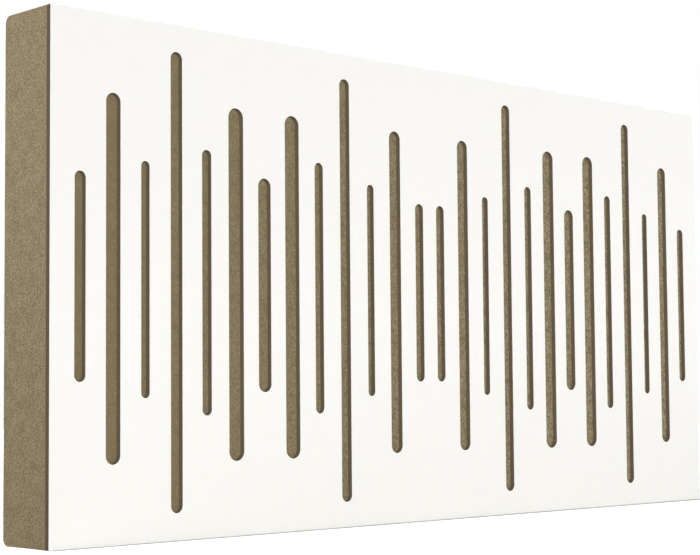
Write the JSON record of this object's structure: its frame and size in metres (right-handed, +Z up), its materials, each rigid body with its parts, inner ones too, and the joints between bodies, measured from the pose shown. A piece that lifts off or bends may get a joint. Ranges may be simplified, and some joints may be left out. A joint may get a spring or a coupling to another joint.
{
  "type": "wooden acoustic absorber panel",
  "caption": "Rectangular slotted acoustic panel: a white-faced fibreboard with upright round-ended slots, bonded to a thick porous absorber block.",
  "frame": {"origin": "under the middle of the panel, in the plane that its long bottom edge stands on", "axes": "+X along the panel's length, -Y out of the white slotted face, +Y out of the flat back that goes against the wall, +Z up the panel's height"},
  "size_m": [1.2, 0.091, 0.6],
  "materials": {
    "white_laminate": "smooth white laminate with a soft satin sheen",
    "brown_fibreboard": "bare sawn and routed edges of dark brown fibreboard",
    "brown_felt": "matt, finely fibrous and speckled"
  },
  "bodies": {
    "root": {"white_facing": "white_laminate", "front_board": "brown_fibreboard", "absorber_block": "brown_felt"}
  },
  "joints": []
}
